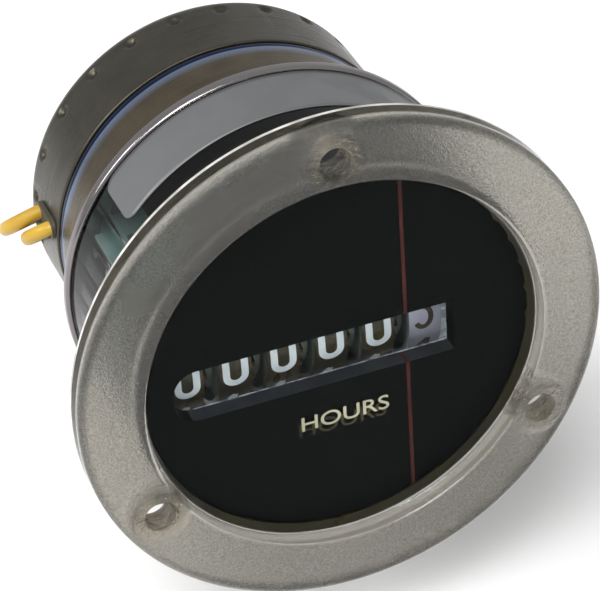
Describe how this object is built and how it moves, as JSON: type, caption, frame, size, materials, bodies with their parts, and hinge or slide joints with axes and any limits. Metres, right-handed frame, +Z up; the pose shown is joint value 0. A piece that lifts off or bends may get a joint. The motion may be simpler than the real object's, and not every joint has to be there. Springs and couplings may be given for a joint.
{
  "type": "hour meter",
  "caption": "Round panel hour meter: clear flanged bezel over a black dial, number-wheel counter, reduction gears and a synchronous motor in a steel can, with wire leads.",
  "frame": {"origin": "centre of the three-screw circle on the bezel's rear face, which lies on the panel", "axes": "+X right and +Z up on the dial, +Y into the panel along the meter's axis"},
  "size_m": [0.071, 0.0625, 0.0825],
  "materials": {
    "clear_plastic": "clear, frosted on the ring's front",
    "dial_black": "satin black",
    "foil": "matt foil",
    "frame_green": "moulded",
    "steel": "bright",
    "brass": "stamped",
    "cup_steel": "plated",
    "can_steel": "plated",
    "seam_blue": "gloss",
    "former": "moulded",
    "copper": "enamelled wire",
    "nylon": "moulded",
    "magnet": "sintered",
    "wheel_white": "moulded",
    "wheel_black": "moulded",
    "bush_black": "moulded",
    "lead_yellow": "insulated wire"
  },
  "bodies": {
    "meter": {"bezel_lens": "clear_plastic", "case_skirt": "clear_plastic", "dial_plate": "dial_black", "rating_label": "foil", "counter_frame": "frame_green", "wheel_shaft": "steel", "pinion_shaft": "steel", "frame_screws": "steel", "gear_plate": "brass", "gear_posts": "steel", "motor_cup": "cup_steel", "seam_ring": "seam_blue", "front_poles": "steel", "rear_poles": "steel", "motor_can": "can_steel", "coil_bobbin": "former", "coil_winding": "copper", "lead_bush": "bush_black", "lead_upper": "lead_yellow", "lead_lower": "lead_yellow", "lead_hank": "lead_yellow", "hank_tie": "bush_black", "lead_tips": "copper"},
    "rotor": {"rotor_hub": "nylon", "rotor_magnet": "magnet"},
    "first_gear": {"gear_1": "nylon"},
    "second_gear": {"gear_2": "nylon"},
    "third_gear": {"gear_3": "nylon"},
    "last_gear": {"gear_4": "nylon"},
    "tenths": {"wheel_tenths": "wheel_white"},
    "units": {"wheel_units": "wheel_black"},
    "tens": {"wheel_tens": "wheel_black"},
    "hundreds": {"wheel_hundreds": "wheel_black"},
    "thousands": {"wheel_thousands": "wheel_black"},
    "ten_thousands": {"wheel_ten_thousands": "wheel_black"},
    "carry_1": {"transfer_1": "nylon"},
    "carry_2": {"transfer_2": "nylon"},
    "carry_3": {"transfer_3": "nylon"},
    "carry_4": {"transfer_4": "nylon"},
    "carry_5": {"transfer_5": "nylon"}
  },
  "joints": [
    {"name": "rotor_spin", "type": "hinge", "parent": "meter", "child": "rotor", "pos_m": [0, 0.0418, 0], "axis": [0, 1, 0], "continuous": true},
    {"name": "first_gear_spin", "type": "hinge", "parent": "meter", "child": "first_gear", "pos_m": [-0.0054, 0.0325, 0.00958], "axis": [0, 1, 0], "continuous": true},
    {"name": "second_gear_spin", "type": "hinge", "parent": "meter", "child": "second_gear", "pos_m": [0.005, 0.031, 0.006], "axis": [0, 1, 0], "continuous": true},
    {"name": "third_gear_spin", "type": "hinge", "parent": "meter", "child": "third_gear", "pos_m": [0.01383, 0.0295, 0.00131], "axis": [0, 1, 0], "continuous": true},
    {"name": "last_gear_spin", "type": "hinge", "parent": "meter", "child": "last_gear", "pos_m": [0.01853, 0.0255, -0.002], "axis": [0, 1, 0], "continuous": true},
    {"name": "tenths_spin", "type": "hinge", "parent": "meter", "child": "tenths", "pos_m": [0.0139, 0.0136, -0.002], "axis": [1, 0, 0], "continuous": true},
    {"name": "units_spin", "type": "hinge", "parent": "meter", "child": "units", "pos_m": [0.00734, 0.0136, -0.002], "axis": [1, 0, 0], "continuous": true},
    {"name": "tens_spin", "type": "hinge", "parent": "meter", "child": "tens", "pos_m": [0.00078, 0.0136, -0.002], "axis": [1, 0, 0], "continuous": true},
    {"name": "hundreds_spin", "type": "hinge", "parent": "meter", "child": "hundreds", "pos_m": [-0.00578, 0.0136, -0.002], "axis": [1, 0, 0], "continuous": true},
    {"name": "thousands_spin", "type": "hinge", "parent": "meter", "child": "thousands", "pos_m": [-0.01234, 0.0136, -0.002], "axis": [1, 0, 0], "continuous": true},
    {"name": "ten_thousands_spin", "type": "hinge", "parent": "meter", "child": "ten_thousands", "pos_m": [-0.0189, 0.0136, -0.002], "axis": [1, 0, 0], "continuous": true},
    {"name": "carry_1_spin", "type": "hinge", "parent": "meter", "child": "carry_1", "pos_m": [0.01062, 0.02197, -0.00902], "axis": [1, 0, 0], "continuous": true},
    {"name": "carry_2_spin", "type": "hinge", "parent": "meter", "child": "carry_2", "pos_m": [0.00406, 0.02197, -0.00902], "axis": [1, 0, 0], "continuous": true},
    {"name": "carry_3_spin", "type": "hinge", "parent": "meter", "child": "carry_3", "pos_m": [-0.0025, 0.02197, -0.00902], "axis": [1, 0, 0], "continuous": true},
    {"name": "carry_4_spin", "type": "hinge", "parent": "meter", "child": "carry_4", "pos_m": [-0.00906, 0.02197, -0.00902], "axis": [1, 0, 0], "continuous": true},
    {"name": "carry_5_spin", "type": "hinge", "parent": "meter", "child": "carry_5", "pos_m": [-0.01562, 0.02197, -0.00902], "axis": [1, 0, 0], "continuous": true}
  ],
  "couplings": [
    {"joint": "first_gear_spin", "follows": "rotor_spin", "ratio": -0.1},
    {"joint": "second_gear_spin", "follows": "rotor_spin", "ratio": 0.01},
    {"joint": "third_gear_spin", "follows": "rotor_spin", "ratio": -0.0011111},
    {"joint": "last_gear_spin", "follows": "tenths_spin", "ratio": 5},
    {"joint": "units_spin", "follows": "tenths_spin", "ratio": 0.1},
    {"joint": "tens_spin", "follows": "tenths_spin", "ratio": 0.01},
    {"joint": "hundreds_spin", "follows": "tenths_spin", "ratio": 0.001},
    {"joint": "thousands_spin", "follows": "tenths_spin", "ratio": 0.0001},
    {"joint": "ten_thousands_spin", "follows": "tenths_spin", "ratio": 0.00001},
    {"joint": "carry_1_spin", "follows": "tenths_spin", "ratio": -0.25},
    {"joint": "carry_2_spin", "follows": "tenths_spin", "ratio": -0.025},
    {"joint": "carry_3_spin", "follows": "tenths_spin", "ratio": -0.0025},
    {"joint": "carry_4_spin", "follows": "tenths_spin", "ratio": -0.00025},
    {"joint": "carry_5_spin", "follows": "tenths_spin", "ratio": -0.000025}
  ]
}
